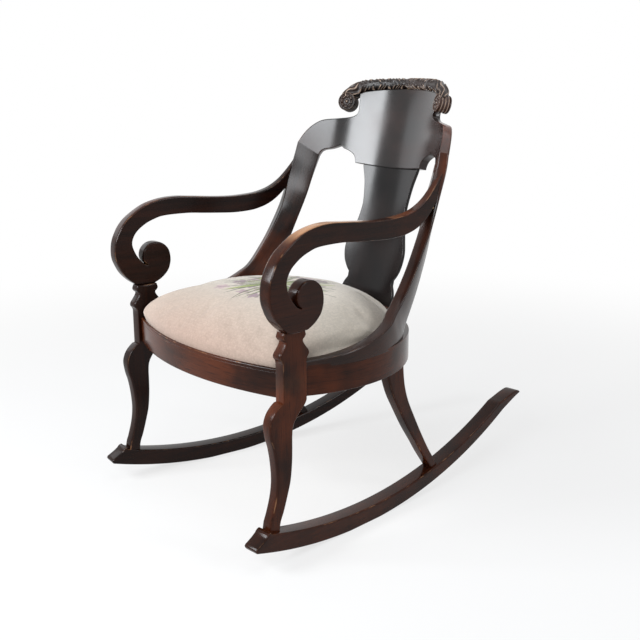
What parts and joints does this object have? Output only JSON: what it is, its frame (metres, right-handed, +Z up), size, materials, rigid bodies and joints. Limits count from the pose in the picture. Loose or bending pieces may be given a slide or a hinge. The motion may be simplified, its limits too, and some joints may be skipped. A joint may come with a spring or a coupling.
{
  "type": "rocking chair",
  "caption": "Wooden rocking chair with curved runners, scrolled arms, a hollow crest rail with carved cap, a vase-shaped splat and a padded drop-in seat.",
  "frame": {"origin": "on the floor, under the middle of the chair's length and width", "axes": "+X to the chair's right-hand side as seen from the front of the picture's near side, -Y the way the chair faces, +Z up"},
  "size_m": [0.6008, 0.855, 0.8975],
  "materials": {
    "mahogany": "dark polished",
    "carving": "carved, polished",
    "inner_wood": "raw pine and beech",
    "needlework": "stitched wool",
    "webbing": "jute",
    "stuffing": "cotton felt",
    "steel": "plain"
  },
  "bodies": {
    "chair": {"rocker_left": "mahogany", "rocker_right": "mahogany", "front_leg_left": "mahogany", "front_leg_right": "mahogany", "rear_leg_left": "mahogany", "rear_leg_right": "mahogany", "front_rail": "mahogany", "side_rail_left": "mahogany", "side_rail_right": "mahogany", "rear_rail": "mahogany", "corner_block_front_left": "inner_wood", "corner_block_front_right": "inner_wood", "corner_block_rear_left": "inner_wood", "corner_block_rear_right": "inner_wood", "corner_block_screws": "steel", "arm_left": "mahogany", "arm_right": "mahogany", "stile_left": "mahogany", "stile_right": "mahogany", "crest_rail": "mahogany", "crest_cap": "carving", "splat": "mahogany", "splat_shoe": "mahogany", "leg_dowels": "inner_wood", "rail_dowels": "inner_wood", "stile_dowels": "inner_wood", "arm_dowels": "inner_wood", "crest_dowels": "inner_wood", "cap_dowels": "inner_wood"},
    "drop_in_seat": {"seat_frame_front": "inner_wood", "seat_frame_rear": "inner_wood", "seat_frame_left": "inner_wood", "seat_frame_right": "inner_wood", "seat_webbing": "webbing", "seat_burlap": "webbing", "seat_stuffing": "stuffing", "seat_cover": "needlework", "cover_tacks": "steel"}
  },
  "joints": [
    {"name": "seat_lift", "type": "slide", "parent": "chair", "child": "drop_in_seat", "axis": [0, 0, 1], "range_m": [0, 0.08]}
  ]
}
